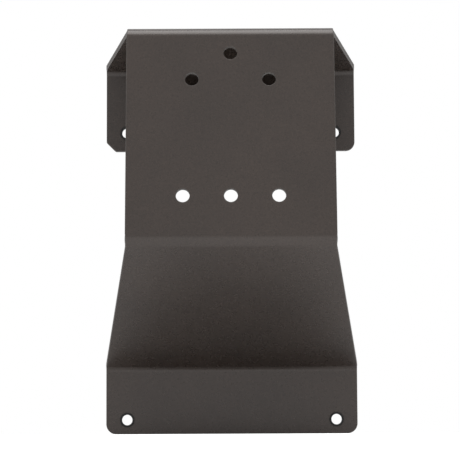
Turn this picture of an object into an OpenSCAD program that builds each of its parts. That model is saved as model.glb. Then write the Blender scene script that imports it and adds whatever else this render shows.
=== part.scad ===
// CPU holder: one folded sheet bracket with lined screw holes.
//
// The sheet runs, in order: rear flange (flat on the wall or desk side),
// flap (comes forward and narrows), main plate (leans out towards its foot),
// tray (runs back down and widens), lip (flat on the wall again).
// Frame: X right, Y into the wall, Z up. The rear faces of the flange and of
// the lip lie on y = 0. The origin is the centre of the four wall holes.

/* [Sheet] */
// Thickness of the steel sheet
sheet_t = 3; // [2:0.5:4]
// Inside radius of every fold
fold_r = 3.5; // [2.5:0.5:5]

/* [Main plate] */
// Width of the main plate
plate_w = 114; // [104:1:124]
// Height of the main plate along its slope, fold apex to fold apex
plate_h = 123; // [118:1:130]
// Lean of the main plate, its foot further from the wall
plate_lean = 9; // [5:1:12]
// Distance from the wall to the front of the main plate at its top
standoff = 70; // [60:1:85]

/* [Wall flange and lip] */
// Width of the rear flange and of the lip
wall_w = 144; // [138:1:160]
// Height of the top fold above the upper wall holes
head_rise = 49.7; // [46:0.1:56]
// Metal below the upper wall holes
flange_edge = 10.8; // [9:0.1:14]
// Height of the lip fold above the lower wall holes
lip_rise = 29.3; // [24:0.1:32]
// Metal below the lower wall holes
lip_edge = 8.1; // [7:0.1:12]
// Radius of the rounded outside corners of the lip
lip_corner = 5.8; // [3:0.1:7]
// Radius of the rounded flange corner
flange_corner = 5.2; // [3:0.1:8]
// Leg of the clipped flange corner
flange_clip = 5.2; // [3:0.1:8]

/* [Wall holes] */
// Spacing of the wall holes across
hole_dx = 120; // [110:1:124]
// Spacing of the wall holes up and down
hole_dz = 166; // [162:1:170]
// Diameter of every punched hole
punch_d = 7.5; // [7:0.1:9]

/* [Hole liners] */
// Screw clearance through a liner
liner_bore = 6; // [4.5:0.1:6]
// Diameter of the liner rim
rim_d = 8.2; // [7.9:0.1:10]
// Thickness of the liner rim
rim_t = 0.4; // [0.3:0.1:0.8]
// Clearance between liner and hole, on the radius
liner_gap = 0.02; // [0.01:0.01:0.05]

/* [Plate holes] */
// Spacing of the three holes in the lower row
row_dx = 26; // [20:0.5:32]
// Distance of the lower row from the top fold apex
row_s = 97.2; // [90:0.1:102]
// Spacing of the upper pair
pair_dx = 42.2; // [34:0.1:60]
// Distance of the upper pair from the top fold apex
pair_s = 31.2; // [29:0.1:40]
// Distance of the single top hole from the top fold apex
top_s = 16.1; // [13:0.1:18]

/* [Hidden] */
$fn = 96;
fold_ro = fold_r + sheet_t;
top_z = hole_dz / 2 + head_rise;
flange_bottom = hole_dz / 2 - flange_edge;
lip_bottom = -hole_dz / 2 - lip_edge;
lip_z = -hole_dz / 2 + lip_rise;

// Fold apexes on the outer face of the sheet, as [y, z]
apex_a = [0, top_z - standoff * tan(plate_lean)];
apex_b = [-standoff, top_z];
apex_c = [-standoff - plate_h * sin(plate_lean), top_z - plate_h * cos(plate_lean)];
apex_d = [-sheet_t, lip_z];

// Running direction of every flat panel, in degrees from +Y towards +Z
dir_flange = 90;
dir_flap = 180 - plate_lean;
dir_plate = 270 - plate_lean;
tray_slope = atan2(apex_d[0] - apex_c[0], apex_c[1] - apex_d[1]);
dir_tray = 270 + tray_slope;
dir_lip = 270;

// Length of outer face taken by half of each fold
half_a = fold_ro * tan((dir_flap - dir_flange) / 2);
half_b = fold_ro * tan((dir_plate - dir_flap) / 2);
half_c = fold_ro * tan((dir_tray - dir_plate) / 2);
half_d = fold_r * tan((dir_tray - dir_lip) / 2);

flap_len = norm(apex_b - apex_a);
tray_len = norm(apex_d - apex_c);

// Colours
coat = [0.29, 0.275, 0.26];
rubber = [0.06, 0.06, 0.06];

// Unit vector at an angle from +Y towards +Z
function way(a) = [cos(a), sin(a)];

// Axes of the four folds: three close towards the inner side of the sheet,
// the last one opens towards its outer side
axis_a = apex_a - half_a * way(dir_flange) + fold_ro * way(dir_flange + 90);
axis_b = apex_b - half_b * way(dir_flap) + fold_ro * way(dir_flap + 90);
axis_c = apex_c - half_c * way(dir_plate) + fold_ro * way(dir_plate + 90);
axis_d = apex_d - half_d * way(dir_tray) - fold_r * way(dir_tray + 90);

// Straight metal kept beside each fold before a taper starts
ease = 0.5;

// Points along one face of a fold
fold_steps = 24;
function arc(axis, r, d0, d1) =
    [for (i = [0 : fold_steps]) axis + r * way(d0 + (d1 - d0) * i / fold_steps)];

// Side profile of the sheet: along its outer face, then back along its inner
function side_profile() = concat(
    [[0, flange_bottom]],
    arc(axis_a, fold_ro, dir_flange - 90, dir_flap - 90),
    arc(axis_b, fold_ro, dir_flap - 90, dir_plate - 90),
    arc(axis_c, fold_ro, dir_plate - 90, dir_tray - 90),
    arc(axis_d, fold_r, dir_tray + 90, dir_lip + 90),
    [[-sheet_t, lip_bottom], [0, lip_bottom]],
    arc(axis_d, fold_ro, dir_lip + 90, dir_tray + 90),
    arc(axis_c, fold_r, dir_tray - 90, dir_plate - 90),
    arc(axis_b, fold_r, dir_plate - 90, dir_flap - 90),
    arc(axis_a, fold_r, dir_flap - 90, dir_flange - 90),
    [[-sheet_t, flange_bottom]]);

// Places a flat shape in the plane of one panel: x across, y along the running
// direction, z towards the inner side, from 1 mm in front to 1 mm behind
module through(apex, dir) {
    translate([0, apex[0], apex[1]]) rotate([dir, 0, 0])
        translate([0, 0, -1]) linear_extrude(height = sheet_t + 2) children();
}

// Straight bore through one panel
module bore(apex, dir, x, s) {
    translate([0, apex[0], apex[1]]) rotate([dir, 0, 0])
        translate([x, s, -1]) cylinder(d = punch_d, h = sheet_t + 2);
}

// Waste beside a tapered panel, from the wide fold to the narrow one
module taper_waste(apex, dir, s_wide, s_narrow) {
    w = wall_w / 2;
    n = plate_w / 2;
    past = (s_wide - s_narrow) / (w - n);
    on = sign(s_narrow - s_wide);
    for (side = [-1, 1])
        through(apex, dir)
            polygon([[side * (w + 2), s_wide + 2 * past], [side * n, s_narrow],
                     [side * n, s_narrow + 3 * on],
                     [side * (w + 9), s_narrow + 3 * on],
                     [side * (w + 9), s_wide + 2 * past]]);
}

// Waste beside the main plate and beside the folds at its head and foot
module plate_waste() {
    far = 40;
    e1 = way(dir_flap - 83);
    e2 = way(dir_plate - 90);
    e3 = way(dir_tray - 97);
    for (x = [-wall_w / 2 - 9, plate_w / 2])
        translate([x, 0, 0]) rotate([90, 0, 90])
            linear_extrude(height = (wall_w - plate_w) / 2 + 9)
                polygon([axis_b, axis_b + far * e1, axis_b + far * (e1 + e2),
                         axis_c + far * (e2 + e3), axis_c + far * e3, axis_c]);
}

// Waste outside a rounded lower corner of a panel on the wall plane
module round_waste(z, r, side) {
    translate([0, 1, 0]) rotate([90, 0, 0])
        linear_extrude(height = sheet_t + 2)
            difference() {
                translate([side > 0 ? wall_w / 2 - r : -wall_w / 2 - 2, z - 2])
                    square([r + 2, r + 2]);
                translate([side * (wall_w / 2 - r), z + r]) circle(r = r);
            }
}

// Waste outside a clipped lower corner of a panel on the wall plane
module clip_waste(z, c, side) {
    w = wall_w / 2;
    translate([0, 1, 0]) rotate([90, 0, 0])
        linear_extrude(height = sheet_t + 2)
            polygon([[side * (w - c - 2), z - 2], [side * (w + 2), z + c + 2],
                     [side * (w + 2), z - 2]]);
}

// The whole sheet: five flat panels and four folds in one piece
module folded_bracket() {
    color(coat)
    difference() {
        translate([-wall_w / 2, 0, 0]) rotate([90, 0, 90])
            linear_extrude(height = wall_w) polygon(side_profile());
        taper_waste(apex_a, dir_flap, half_a + ease, flap_len - half_b - ease);
        plate_waste();
        taper_waste(apex_c, dir_tray, tray_len - half_d - ease, half_c + ease);
        round_waste(flange_bottom, flange_corner, 1);
        clip_waste(flange_bottom, flange_clip, -1);
        round_waste(lip_bottom, lip_corner, 1);
        round_waste(lip_bottom, lip_corner, -1);
        for (x = [-hole_dx / 2, hole_dx / 2]) {
            bore([0, hole_dz / 2], dir_flange, x, 0);
            bore([-sheet_t, -hole_dz / 2], dir_lip, x, 0);
        }
        for (x = [-row_dx, 0, row_dx]) bore(apex_b, dir_plate, x, row_s);
        for (x = [-pair_dx / 2, pair_dx / 2]) bore(apex_b, dir_plate, x, pair_s);
        bore(apex_b, dir_plate, 0, top_s);
    }
}

// Liner: a sleeve the depth of the sheet with a thin rim on the front
module liner(x, z) {
    sleeve_r = punch_d / 2 - liner_gap;
    color(rubber)
    translate([x, 0, z]) rotate([90, 0, 0])
        difference() {
            union() {
                cylinder(r = sleeve_r, h = sheet_t + liner_gap + rim_t);
                translate([0, 0, sheet_t + liner_gap])
                    cylinder(d = rim_d, h = rim_t);
            }
            translate([0, 0, -1])
                cylinder(d = liner_bore, h = sheet_t + liner_gap + rim_t + 2);
        }
}

module liner_upper_left() { liner(-hole_dx / 2, hole_dz / 2); }
module liner_upper_right() { liner(hole_dx / 2, hole_dz / 2); }
module liner_lower_left() { liner(-hole_dx / 2, -hole_dz / 2); }
module liner_lower_right() { liner(hole_dx / 2, -hole_dz / 2); }

folded_bracket();
liner_upper_left();
liner_upper_right();
liner_lower_left();
liner_lower_right();
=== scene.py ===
import bpy
import math
import numpy as np
from mathutils import Matrix, Vector
from mathutils.geometry import delaunay_2d_cdt


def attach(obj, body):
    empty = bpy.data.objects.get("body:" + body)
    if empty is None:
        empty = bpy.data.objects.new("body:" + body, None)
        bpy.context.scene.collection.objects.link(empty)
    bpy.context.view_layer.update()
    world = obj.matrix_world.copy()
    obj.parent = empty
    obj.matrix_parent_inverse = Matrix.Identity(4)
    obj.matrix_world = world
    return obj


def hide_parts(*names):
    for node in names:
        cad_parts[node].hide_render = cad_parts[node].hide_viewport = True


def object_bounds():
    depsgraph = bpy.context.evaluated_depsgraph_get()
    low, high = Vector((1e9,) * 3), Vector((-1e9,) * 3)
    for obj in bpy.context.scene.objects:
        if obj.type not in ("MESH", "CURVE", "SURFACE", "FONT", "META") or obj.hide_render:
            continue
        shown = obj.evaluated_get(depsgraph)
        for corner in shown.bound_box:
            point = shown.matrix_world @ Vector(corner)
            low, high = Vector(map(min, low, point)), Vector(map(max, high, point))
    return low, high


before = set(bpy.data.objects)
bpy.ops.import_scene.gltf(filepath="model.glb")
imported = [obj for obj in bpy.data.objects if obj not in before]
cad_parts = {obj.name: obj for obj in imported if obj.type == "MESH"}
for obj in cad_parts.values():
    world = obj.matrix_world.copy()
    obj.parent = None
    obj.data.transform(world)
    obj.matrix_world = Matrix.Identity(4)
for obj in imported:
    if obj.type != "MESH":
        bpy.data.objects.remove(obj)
CAD_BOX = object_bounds()
scene = bpy.context.scene

# ---------------------------------------------------------------- camera
CAM_X, CAM_Y, CAM_Z = -0.0006, -1.15379, -0.09068
CAM_PITCH, CAM_ROLL, CAM_YAW = 5.797, -0.27, 0.0
cam_data = bpy.data.cameras.new("camera")
cam_data.sensor_width = 36.0
cam_data.lens = 2000.0 / 460.0 * 36.0
cam_data.clip_start = 0.01
cam_data.clip_end = 100.0
cam = bpy.data.objects.new("camera", cam_data)
scene.collection.objects.link(cam)
cam.matrix_world = (
    Matrix.Translation((CAM_X, CAM_Y, CAM_Z))
    @ Matrix.Rotation(math.radians(CAM_YAW), 4, "Z")
    @ Matrix.Rotation(math.radians(90.0 + CAM_PITCH), 4, "X")
    @ Matrix.Rotation(math.radians(CAM_ROLL), 4, "Z")
)
scene.camera = cam

# ------------------------------------------------- dimensions, as in part.scad (mm)
T, RI = 3.0, 3.5
RO = RI + T
RI_C = 4.8  # the coat and the springback leave the plate's lower fold a little rounder
PLATE_W, PLATE_H, LEAN, STANDOFF = 114.0, 123.0, 9.0, 70.0
WALL_W = 144.0
HOLE_DX, HOLE_DZ, PUNCH_R = 120.0, 166.0, 3.75
HEAD_RISE, FLANGE_EDGE, LIP_RISE, LIP_EDGE = 49.7, 10.8, 29.3, 8.1
LIP_CORNER, FLANGE_CORNER, FLANGE_CLIP = 5.8, 5.2, 5.2
ROW_DX, ROW_S, PAIR_DX, PAIR_S, TOP_S = 26.0, 97.2, 42.2, 31.2, 16.1
EASE = 0.5


def way(deg):
    a = math.radians(deg)
    return np.array([math.cos(a), math.sin(a)])


TOP_Z = HOLE_DZ / 2 + HEAD_RISE
FLANGE_Z = HOLE_DZ / 2 - FLANGE_EDGE
LIP_Z0 = -HOLE_DZ / 2 - LIP_EDGE
LIP_Z = -HOLE_DZ / 2 + LIP_RISE
lean = math.radians(LEAN)
AP_A = np.array([0.0, TOP_Z - STANDOFF * math.tan(lean)])
AP_B = np.array([-STANDOFF, TOP_Z])
AP_C = np.array([-STANDOFF - PLATE_H * math.sin(lean), TOP_Z - PLATE_H * math.cos(lean)])
AP_D = np.array([-T, LIP_Z])
D_FLANGE, D_FLAP, D_PLATE = 90.0, 180.0 - LEAN, 270.0 - LEAN
SLOPE = math.degrees(math.atan2(AP_D[0] - AP_C[0], AP_C[1] - AP_D[1]))
D_TRAY, D_LIP = 270.0 + SLOPE, 270.0


def half(r, turn):
    return r * math.tan(math.radians(turn / 2))


H_A = half(RO, D_FLAP - D_FLANGE)
H_B = half(RO, D_PLATE - D_FLAP)
H_C = half(RI_C + T, D_TRAY - D_PLATE)
H_D = half(RI, D_TRAY - D_LIP)
FLAP_LEN = float(np.linalg.norm(AP_B - AP_A))
TRAY_LEN = float(np.linalg.norm(AP_D - AP_C))

# The sheet laid out flat: s runs from the flange's lower edge to the lip's
SEG = []


def flat_seg(name, start, direction, length):
    s0 = SEG[-1]["s1"] if SEG else 0.0
    SEG.append(dict(name=name, kind="flat", s0=s0, s1=s0 + length, p=np.array(start), d=direction))


def fold_seg(name, axis, d0, d1, sign, ri=RI):
    s0 = SEG[-1]["s1"]
    SEG.append(dict(name=name, kind="fold", s0=s0, s1=s0 + (ri + T / 2) * math.radians(abs(d1 - d0)), axis=axis, d0=d0, d1=d1, sign=sign, ri=ri))


def fold_axis(apex, d, h, r, side):
    return apex - h * way(d) + side * r * way(d + 90)


flat_seg("flange", (0.0, FLANGE_Z), D_FLANGE, AP_A[1] - FLANGE_Z - H_A)
fold_seg("fold_a", fold_axis(AP_A, D_FLANGE, H_A, RO, 1), D_FLANGE, D_FLAP, 1)
flat_seg("flap", AP_A + H_A * way(D_FLAP), D_FLAP, FLAP_LEN - H_A - H_B)
fold_seg("fold_b", fold_axis(AP_B, D_FLAP, H_B, RO, 1), D_FLAP, D_PLATE, 1)
flat_seg("plate", AP_B + H_B * way(D_PLATE), D_PLATE, PLATE_H - H_B - H_C)
fold_seg("fold_c", fold_axis(AP_C, D_PLATE, H_C, RI_C + T, 1), D_PLATE, D_TRAY, 1, RI_C)
flat_seg("tray", AP_C + H_C * way(D_TRAY), D_TRAY, TRAY_LEN - H_C - H_D)
fold_seg("fold_d", fold_axis(AP_D, D_TRAY, H_D, RI, -1), D_TRAY, D_LIP, -1)
flat_seg("lip", AP_D + H_D * way(D_LIP), D_LIP, LIP_Z - LIP_Z0 - H_D)
S = {g["name"]: g for g in SEG}
S_END = SEG[-1]["s1"]


def place(x, s, h):
    """The 3D point (mm) of a point of the flat sheet, h below its outer face, and the two unit directions there."""
    g = next((q for q in SEG if s <= q["s1"] + 1e-9), SEG[-1])
    if g["kind"] == "flat":
        p = g["p"] + (s - g["s0"]) * way(g["d"]) + h * way(g["d"] + 90)
        return (x, p[0], p[1]), way(g["d"]), way(g["d"] + 90)
    u = (s - g["s0"]) / (g["s1"] - g["s0"])
    d = g["d0"] + (g["d1"] - g["d0"]) * u
    if g["sign"] > 0:
        p = g["axis"] + (g["ri"] + T - h) * way(d - 90)
    else:
        p = g["axis"] + (g["ri"] + h) * way(d + 90)
    return (x, p[0], p[1]), way(d), way(d + 90)


def necking(s, h):
    """How far the cut edge draws in (-) or swells (+) where the sheet is folded, in mm."""
    for g in SEG:
        if g["kind"] == "fold" and g["s0"] < s < g["s1"]:
            u = (s - g["s0"]) / (g["s1"] - g["s0"])
            w = math.sin(math.pi * u) ** 0.8
            side = 1 - 2 * h / T if g["sign"] > 0 else 2 * h / T - 1  # 1 on the stretched face
            room = 0.30 if g["name"] in ("fold_b", "fold_c") else 0.0
            return w * (-0.34 * max(side, 0.0) + room * max(-side, 0.0))
    return 0.0


# ------------------------------------------------------------ flat outline
def ticks(a, b, step):
    n = max(1, int(math.ceil(abs(b - a) / step)))
    return [a + (b - a) * i / n for i in range(n + 1)]


def fold_rows(g):
    return ticks(g["s0"], g["s1"], 0.36)


W, N = WALL_W / 2, PLATE_W / 2
rows = []
for g in SEG:
    if g["kind"] == "fold":
        rows.append(fold_rows(g))

right = []  # (x, s) up the right-hand side


def add(x, s):
    if not right or abs(right[-1][0] - x) + abs(right[-1][1] - s) > 1e-6:
        right.append((x, s))


def corner_arc(cx, cs, r, a0, a1, n=14):
    return [(cx + r * math.cos(math.radians(a0 + (a1 - a0) * i / n)), cs + r * math.sin(math.radians(a0 + (a1 - a0) * i / n))) for i in range(n + 1)]


for q in corner_arc(W - FLANGE_CORNER, FLANGE_CORNER, FLANGE_CORNER, -90, 0):
    add(*q)
for g in SEG:
    if g["name"] in ("fold_a", "fold_d"):
        for s in fold_rows(g):
            add(W, s)
    if g["name"] in ("fold_b", "fold_c"):
        for s in fold_rows(g):
            add(N, s)
    if g["name"] == "flap":
        for i in range(13):
            add(W + (N - W) * i / 12, g["s0"] + EASE + (g["s1"] - g["s0"] - 2 * EASE) * i / 12)
    if g["name"] == "tray":
        for i in range(17):
            add(N + (W - N) * i / 16, g["s0"] + EASE + (g["s1"] - g["s0"] - 2 * EASE) * i / 16)
for q in corner_arc(W - LIP_CORNER, S_END - LIP_CORNER, LIP_CORNER, 0, 90):
    add(*q)

left = [(-x, s) for x, s in right if s > FLANGE_CORNER + 0.5]
clip = FLANGE_CLIP
soft = 0.9
left = [(-W + clip + soft, 0.0), (-W + clip + 0.25 * soft, 0.05), (-W + clip - 0.45 * soft, 0.45 * soft + 0.05), (-W + 0.45 * soft + 0.05, clip - 0.45 * soft), (-W + 0.05, clip + 0.25 * soft), (-W, clip + soft)] + left
outline = right + left[::-1]


def circle_loop(cx, cs, r, n=72):
    return [(cx + r * math.cos(-2 * math.pi * i / n), cs + r * math.sin(-2 * math.pi * i / n)) for i in range(n)]


def plate_s(d):
    return S["plate"]["s0"] + d - H_B


holes = []
for x in (-HOLE_DX / 2, HOLE_DX / 2):
    holes.append((circle_loop(x, FLANGE_EDGE, PUNCH_R), 0.5))
    holes.append((circle_loop(x, S_END - LIP_EDGE, PUNCH_R), 0.5))
for x in (-ROW_DX, 0.0, ROW_DX):
    holes.append((circle_loop(x, plate_s(ROW_S), PUNCH_R), 0.32))
for x in (-PAIR_DX / 2, PAIR_DX / 2):
    holes.append((circle_loop(x, plate_s(PAIR_S), PUNCH_R), 0.32))
holes.append((circle_loop(0.0, plate_s(TOP_S), PUNCH_R), 0.32))

EDGE_R, RING = 0.45, 1.3
K = 4


def loop_normals(loop):
    """Outward normal and mitre factor at each point of a loop that has its material on the left."""
    p = np.array(loop)
    nxt, prv = np.roll(p, -1, 0), np.roll(p, 1, 0)
    d1 = nxt - p
    d0 = p - prv
    d1 /= np.linalg.norm(d1, axis=1)[:, None]
    d0 /= np.linalg.norm(d0, axis=1)[:, None]
    n1 = np.stack([d1[:, 1], -d1[:, 0]], 1)
    n0 = np.stack([d0[:, 1], -d0[:, 0]], 1)
    n = n0 + n1
    n /= np.linalg.norm(n, axis=1)[:, None]
    f = 1.0 / np.clip((n * n1).sum(1), 0.5, 1.0)
    return n, f


verts, normals, rims, faces = [], [], [], []
cap_front, cap_back, cap_xy = [], [], []
cap_edges = []
row_key = {}


def section(e):
    """Cross-section of a rounded edge: (inset, depth, share of outward normal, face normal along h, rim value)."""
    out = [(e + RING, 0.0, 0.0, -1.0, 0.0)]
    for i in range(K + 1):
        a = math.pi / 2 * i / K
        out.append((e * (1 - math.sin(a)), e * (1 - math.cos(a)), math.sin(a), -math.cos(a), 0.12 + 0.88 * i / K))
    back = [(i, T - h, sn, -cn, r) for i, h, sn, cn, r in reversed(out)]
    return out + back


def build_loop(loop, e, outer):
    nrm, mit = loop_normals(loop)
    sec = section(e)
    m = len(sec)
    base = len(verts)
    for j, (x, s) in enumerate(loop):
        n = nrm[j]
        for inset, h, sn, cn, rim in sec:
            px = x - n[0] * mit[j] * inset
            ps = s - n[1] * mit[j] * inset
            if outer:
                px += necking(s, h) * (1 if x > 0 else -1) * max(0.0, 1 - inset / 1.6)
            (X, Y, Z), ds, dh = place(px, ps, h)
            verts.append((X, Y, Z))
            normals.append((sn * n[0], sn * n[1] * ds[0] + cn * dh[0], sn * n[1] * ds[1] + cn * dh[1]))
            rims.append(rim)
    cnt = len(loop)
    for j in range(cnt):
        j2 = (j + 1) % cnt
        for k in range(m - 1):
            faces.append((base + j * m + k, base + j2 * m + k, base + j2 * m + k + 1, base + j * m + k + 1))
    # the cap's own ring
    first = len(cap_xy)
    for j, (x, s) in enumerate(loop):
        n = nrm[j]
        inset = e + RING
        cap_xy.append((x - n[0] * mit[j] * inset, s - n[1] * mit[j] * inset))
        cap_front.append(base + j * m)
        cap_back.append(base + j * m + m - 1)
        if outer:
            row_key[(round(s, 5), 1 if x > 0 else -1)] = first + j
    for j in range(cnt):
        cap_edges.append((first + j, first + (j + 1) % cnt))


build_loop(outline, EDGE_R, True)
n_outer = len(cap_xy)
for loop, e in holes:
    build_loop(loop, e, False)
for rs in rows:
    for s in rs:
        a, b = row_key.get((round(s, 5), -1)), row_key.get((round(s, 5), 1))
        if a is not None and b is not None:
            cap_edges.append((a, b))

res = delaunay_2d_cdt([Vector(p) for p in cap_xy], cap_edges, [], 0, 1e-7, True)
cv, cf, orig = res[0], res[2], res[3]
pts = np.array([tuple(v) for v in cv])
ring = np.array(cap_xy[:n_outer])
hole_rings = []
at = n_outer
for loop, e in holes:
    hole_rings.append(np.array(cap_xy[at:at + len(loop)]))
    at += len(loop)


def inside(poly, q):
    x, y = q[:, 0][:, None], q[:, 1][:, None]
    x0, y0 = poly[:, 0][None], poly[:, 1][None]
    x1, y1 = np.roll(poly[:, 0], -1)[None], np.roll(poly[:, 1], -1)[None]
    cross = (y0 > y) != (y1 > y)
    with np.errstate(divide="ignore", invalid="ignore"):
        xi = (x1 - x0) * (y - y0) / (y1 - y0) + x0
    return (np.logical_and(cross, x < xi).sum(1) % 2) == 1


cent = np.array([pts[list(f)].mean(0) for f in cf])
keep = inside(ring, cent)
for hr in hole_rings:
    keep &= ~inside(hr, cent)
assert len(cv) == len(cap_xy), "the flat pattern's outline crosses itself"
back_of = [o[0] for o in orig]
for f, ok in zip(cf, keep):
    if not ok:
        continue
    a, b, c = (back_of[i] for i in f)
    pa, pb, pc = (np.array(cap_xy[i]) for i in (a, b, c))
    ccw = (pb[0] - pa[0]) * (pc[1] - pa[1]) - (pb[1] - pa[1]) * (pc[0] - pa[0]) > 0
    if not ccw:
        b, c = c, b
    faces.append((cap_front[a], cap_front[c], cap_front[b]))
    faces.append((cap_back[a], cap_back[b], cap_back[c]))


def make_mesh(name, vs, fs, ns=None, rim=None):
    me = bpy.data.meshes.new(name)
    me.from_pydata([(x * 0.001, y * 0.001, min(z * 0.001, CAD_BOX[1][2])) for x, y, z in vs], [], fs)
    me.update()
    me.polygons.foreach_set("use_smooth", [True] * len(me.polygons))
    if rim is not None:
        at = me.attributes.new("rim", "FLOAT", "POINT")
        at.data.foreach_set("value", rim)
    if ns is not None:
        me.normals_split_custom_set_from_vertices([Vector(n).normalized() for n in ns])
    ob = bpy.data.objects.new(name, me)
    scene.collection.objects.link(ob)
    return ob


bracket = make_mesh("bracket_sheet", verts, faces, normals, rims)


# ------------------------------------------------------------------ liners
def liner_mesh(name, cx, cz):
    prof = [(3.0, 0.25), (3.0, 2.95)]
    for i in range(1, 7):  # bore's rounded mouth
        a = math.radians(15 * i)
        prof.append((3.0 + 0.32 * (1 - math.cos(a)), 2.95 + 0.0 + 0.47 * math.sin(a)))
    for i in range(0, 7):  # rim's rounded outer edge
        a = math.radians(90 - 15 * i)
        prof.append((3.88 + 0.22 * math.cos(a), 3.2 + 0.22 * math.sin(a)))
    prof += [(4.1, 3.1), (4.06, 3.02), (3.80, 3.02), (3.73, 2.95), (3.73, 0.22), (3.66, 0.06), (3.55, 0.0), (3.2, 0.0), (3.08, 0.05)]
    n = 96
    vs, fs = [], []
    for j in range(n):
        t = 2 * math.pi * j / n
        for r, a in prof:
            vs.append((cx + r * math.cos(t), -a, cz + r * math.sin(t)))
    m = len(prof)
    for j in range(n):
        j2 = (j + 1) % n
        for k in range(m):
            k2 = (k + 1) % m
            fs.append((j * m + k, j * m + k2, j2 * m + k2, j2 * m + k))
    ob = make_mesh(name, vs, fs)
    ob.data.set_sharp_from_angle(angle=math.radians(38))
    return ob


liners = {}
for node, sx, sz in (("liner_upper_left", -1, 1), ("liner_upper_right", 1, 1), ("liner_lower_left", -1, -1), ("liner_lower_right", 1, -1)):
    liners[node] = liner_mesh(node + "_moulded", sx * HOLE_DX / 2, sz * HOLE_DZ / 2)


# --------------------------------------------------------------- materials
def new_material(name):
    mat = bpy.data.materials.new(name)
    mat.use_nodes = True
    nt = mat.node_tree
    return mat, nt, nt.nodes["Principled BSDF"]


def link(nt, a, b):
    nt.links.new(a, b)


def noise(nt, coord, scale, detail, rough=0.5):
    n = nt.nodes.new("ShaderNodeTexNoise")
    n.inputs["Scale"].default_value = scale
    n.inputs["Detail"].default_value = detail
    n.inputs["Roughness"].default_value = rough
    link(nt, coord, n.inputs["Vector"])
    return n


def ramp(nt, src, lo, hi, a, b):
    n = nt.nodes.new("ShaderNodeMapRange")
    n.inputs["From Min"].default_value = lo
    n.inputs["From Max"].default_value = hi
    n.inputs["To Min"].default_value = a
    n.inputs["To Max"].default_value = b
    link(nt, src, n.inputs["Value"])
    return n.outputs["Result"]


def powder_coat():
    mat, nt, bsdf = new_material("textured_powder_coat")
    tc = nt.nodes.new("ShaderNodeTexCoord")
    obj = tc.outputs["Object"]
    grain = noise(nt, obj, 1500.0, 2.0, 0.6)
    orange = noise(nt, obj, 520.0, 3.0, 0.55)
    cloud = noise(nt, obj, 28.0, 3.0, 0.5)
    rim = nt.nodes.new("ShaderNodeAttribute")
    rim.attribute_name = "rim"

    # colour: dark warm grey, speckled by the powder, a little lighter over the rounded edges: partly the coat
    # thinning there, partly a painted highlight where light catches the edge
    speck = nt.nodes.new("ShaderNodeValToRGB")
    speck.color_ramp.elements[0].position = 0.36
    speck.color_ramp.elements[0].color = (0.0160, 0.0117, 0.0095, 1)
    speck.color_ramp.elements[1].position = 0.66
    speck.color_ramp.elements[1].color = (0.0299, 0.0220, 0.0180, 1)
    link(nt, grain.outputs["Fac"], speck.inputs["Fac"])
    tone = nt.nodes.new("ShaderNodeMix")
    tone.data_type = "RGBA"
    tone.blend_type = "MULTIPLY"
    tone.inputs["Factor"].default_value = 1.0
    link(nt, speck.outputs["Color"], tone.inputs["A"])
    cl = nt.nodes.new("ShaderNodeValToRGB")
    cl.color_ramp.elements[0].position = 0.3
    cl.color_ramp.elements[0].color = (0.88, 0.88, 0.88, 1)
    cl.color_ramp.elements[1].position = 0.7
    cl.color_ramp.elements[1].color = (1.08, 1.07, 1.06, 1)
    link(nt, cloud.outputs["Fac"], cl.inputs["Fac"])
    link(nt, cl.outputs["Color"], tone.inputs["B"])
    # painted edge highlight, partly thinned coat: the rim attribute, broken up by the orange-peel noise, lifts the
    # base colour on the rounded edges
    edge_wear_and_highlight = nt.nodes.new("ShaderNodeMath")
    edge_wear_and_highlight.operation = "MULTIPLY"
    link(nt, ramp(nt, rim.outputs["Fac"], 0.1, 1.0, 0.0, 0.75), edge_wear_and_highlight.inputs[0])
    link(nt, ramp(nt, orange.outputs["Fac"], 0.35, 0.62, 0.35, 1.0), edge_wear_and_highlight.inputs[1])
    edge = nt.nodes.new("ShaderNodeMix")
    edge.data_type = "RGBA"
    link(nt, edge_wear_and_highlight.outputs[0], edge.inputs["Factor"])
    link(nt, tone.outputs["Result"], edge.inputs["A"])
    edge.inputs["B"].default_value = (0.055, 0.051, 0.047, 1)
    link(nt, edge.outputs["Result"], bsdf.inputs["Base Color"])

    # sheen of the cured powder: satin, uneven at the scale of the grain
    rough = nt.nodes.new("ShaderNodeMath")
    rough.operation = "ADD"
    link(nt, ramp(nt, orange.outputs["Fac"], 0.3, 0.7, 0.26, 0.31), rough.inputs[0])
    link(nt, ramp(nt, rim.outputs["Fac"], 0.2, 1.0, 0.0, 0.33), rough.inputs[1])
    link(nt, rough.outputs[0], bsdf.inputs["Roughness"])
    bsdf.inputs["IOR"].default_value = 1.5
    bsdf.inputs["Specular Tint"].default_value = (1.0, 0.95, 0.93, 1)

    add_h = nt.nodes.new("ShaderNodeMath")
    add_h.operation = "MULTIPLY_ADD"
    link(nt, orange.outputs["Fac"], add_h.inputs[0])
    add_h.inputs[1].default_value = 1.6
    link(nt, grain.outputs["Fac"], add_h.inputs[2])
    bump = nt.nodes.new("ShaderNodeBump")
    bump.inputs["Strength"].default_value = 0.06
    bump.inputs["Distance"].default_value = 0.00012
    link(nt, add_h.outputs[0], bump.inputs["Height"])
    link(nt, bump.outputs["Normal"], bsdf.inputs["Normal"])
    return mat


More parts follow.
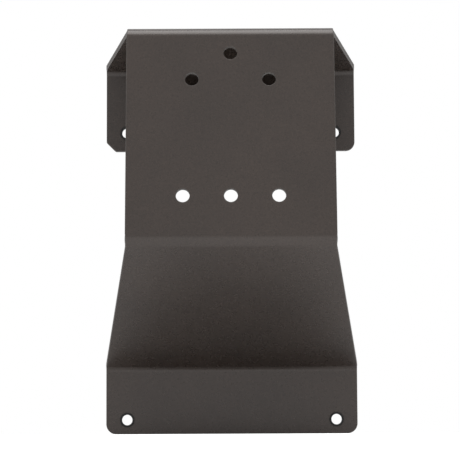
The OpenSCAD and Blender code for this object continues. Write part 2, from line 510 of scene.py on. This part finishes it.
def liner_rubber():
    mat, nt, bsdf = new_material("black_rubber")
    tc = nt.nodes.new("ShaderNodeTexCoord")
    fine = noise(nt, tc.outputs["Object"], 2600.0, 2.0, 0.5)
    dust = noise(nt, tc.outputs["Object"], 420.0, 3.0, 0.6)
    col = nt.nodes.new("ShaderNodeValToRGB")
    col.color_ramp.elements[0].position = 0.35
    col.color_ramp.elements[0].color = (0.0065, 0.0065, 0.0068, 1)
    col.color_ramp.elements[1].position = 0.75
    col.color_ramp.elements[1].color = (0.016, 0.0155, 0.015, 1)
    link(nt, dust.outputs["Fac"], col.inputs["Fac"])
    link(nt, col.outputs["Color"], bsdf.inputs["Base Color"])
    link(nt, ramp(nt, fine.outputs["Fac"], 0.3, 0.7, 0.55, 0.72), bsdf.inputs["Roughness"])
    bsdf.inputs["Specular IOR Level"].default_value = 0.3
    bump = nt.nodes.new("ShaderNodeBump")
    bump.inputs["Strength"].default_value = 0.25
    bump.inputs["Distance"].default_value = 0.00004
    link(nt, fine.outputs["Fac"], bump.inputs["Height"])
    link(nt, bump.outputs["Normal"], bsdf.inputs["Normal"])
    return mat


coat, rubber = powder_coat(), liner_rubber()
bracket.data.materials.append(coat)
for ob in liners.values():
    ob.data.materials.append(rubber)
for name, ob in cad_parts.items():
    for slot in ob.material_slots:
        slot.material = coat if name == "folded_bracket" else rubber

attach(bracket, "root")
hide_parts("folded_bracket")
for node, ob in liners.items():
    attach(ob, "root")
    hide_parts(node)

# ------------------------------------------------------- floor and lights
FLOOR_Z = LIP_Z0 * 0.001 - 0.0003


def stage_plane(name, x0, x1, y0, y1, z, glow):
    mat, nt, bsdf = new_material(name + "_white")
    bsdf.inputs["Base Color"].default_value = (0.92, 0.92, 0.92, 1)
    bsdf.inputs["Roughness"].default_value = 0.9
    bsdf.inputs["Emission Color"].default_value = (1, 1, 1, 1)
    bsdf.inputs["Emission Strength"].default_value = glow
    me = bpy.data.meshes.new(name)
    me.from_pydata([(x0, y0, 0), (x1, y0, 0), (x1, y1, 0), (x0, y1, 0)], [], [(0, 1, 2, 3)])
    me.materials.append(mat)
    ob = bpy.data.objects.new(name, me)
    ob.location = (0, 0, z)
    scene.collection.objects.link(ob)
    return ob


# a plain pale floor
stage_plane("floor", -12.0, 12.0, -12.0, 12.0, FLOOR_Z, 0.0)

# plain soft studio light: an even white room and one large soft box overhead
world = bpy.data.worlds.new("studio")
scene.world = world
world.use_nodes = True
room = world.node_tree.nodes["Background"]
room.inputs["Color"].default_value = (1, 1, 1, 1)
room.inputs["Strength"].default_value = 1.0

box = bpy.data.lights.new("overhead", "AREA")
box.shape = "RECTANGLE"
box.size = 1.6
box.size_y = 1.2
box.energy = 24.0
box_ob = bpy.data.objects.new("overhead", box)
box_ob.location = (0.0, -0.35, 1.5)
scene.collection.objects.link(box_ob)

scene.view_settings.view_transform = "Standard"
scene.view_settings.look = "None"
scene.view_settings.exposure = 0.0
scene.view_settings.gamma = 1.0
